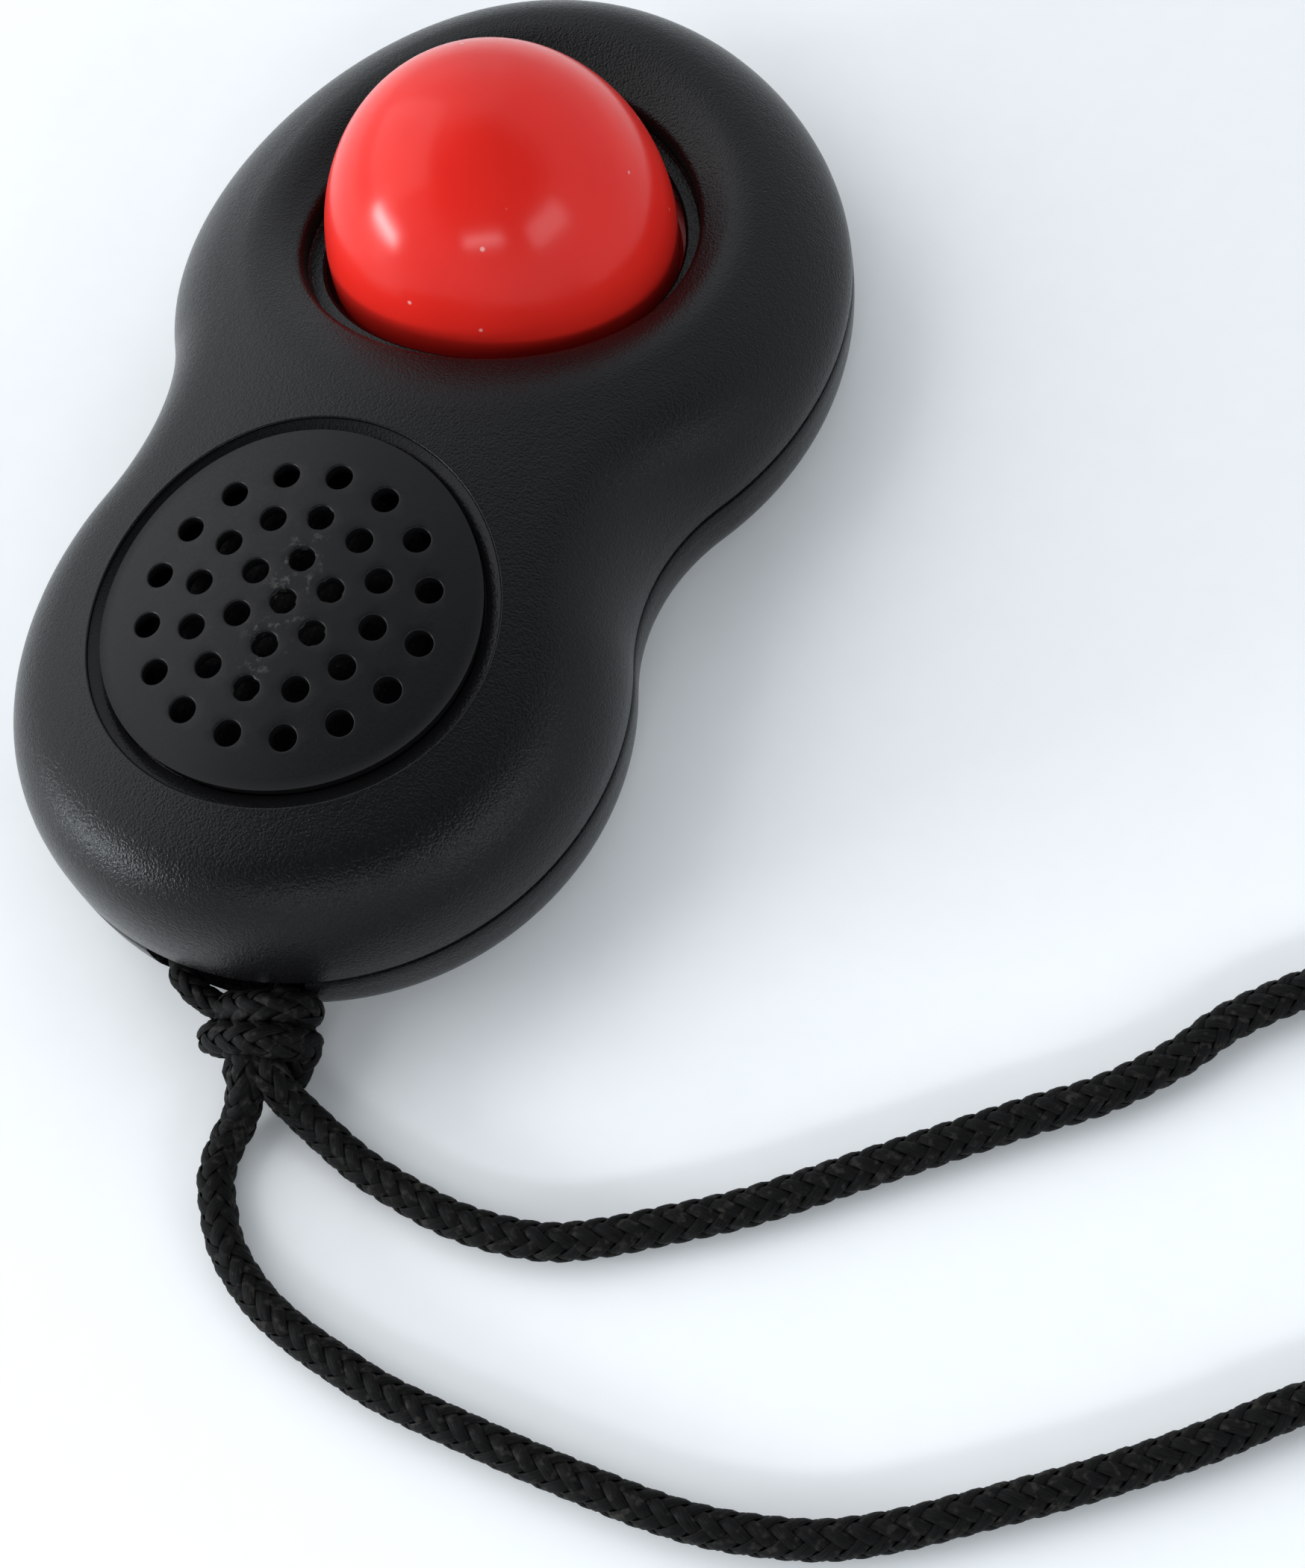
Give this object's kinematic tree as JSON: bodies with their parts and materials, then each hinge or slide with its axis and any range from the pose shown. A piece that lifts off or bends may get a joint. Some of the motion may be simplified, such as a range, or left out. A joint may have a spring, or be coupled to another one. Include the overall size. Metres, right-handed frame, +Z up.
{
  "type": "clicker trainer",
  "caption": "Hand-held clicker trainer: peanut-shaped two-part black case with a sprung domed thumb button, a perforated sound disc, an inner snap plate and a knotted braided wrist cord.",
  "frame": {"origin": "on the flat underside, at the middle of the case in plan, without the cord", "axes": "+Z up out of the button, +Y from the grille end towards the button end, +X to the right"},
  "size_m": [0.14, 0.1156, 0.0296],
  "materials": {
    "case": "fine spark-eroded black ABS",
    "grille": "smoother satin black ABS",
    "gauze": "thin black dust cloth",
    "button": "polished red",
    "tip": "matt",
    "spring_steel": "drawn wire",
    "plate_steel": "rolled strip",
    "screw_steel": "bright zinc",
    "felt": "pressed grey felt",
    "braid": "diamond-braided black polyester"
  },
  "bodies": {
    "housing": {"top_shell": "case", "bottom_shell": "case", "grille_disc": "grille", "grille_gauze": "gauze", "return_spring_left": "spring_steel", "return_spring_right": "spring_steel", "plate_clamp": "plate_steel", "plate_screw_left": "screw_steel", "plate_screw_right": "screw_steel", "case_screw_near_left": "screw_steel", "case_screw_near_right": "screw_steel", "case_screw_far_left": "screw_steel", "case_screw_far_right": "screw_steel", "damper_pad": "felt", "lanyard_pin": "screw_steel", "cord_eye": "braid", "cord_loop": "braid", "cord_knot": "braid"},
    "button": {"push_button": "button", "plunger_tip": "tip"},
    "striker": {"click_plate": "plate_steel"}
  },
  "joints": [
    {"name": "button_press", "type": "slide", "parent": "housing", "child": "button", "axis": [0, 0, -1], "range_m": [0, 0.003], "stiffness_N_per_m": 1000, "springref_m": -0.0015, "deforming": ["return_spring_left", "return_spring_right"]},
    {"name": "plate_flex", "type": "hinge", "parent": "housing", "child": "striker", "pos_m": [0, -0.03, 0.00735], "axis": [-1, 0, 0], "range_deg": [0, 3.7]}
  ],
  "couplings": [
    {"joint": "plate_flex", "follows": "button_press", "rad_per_m": 20.7}
  ]
}
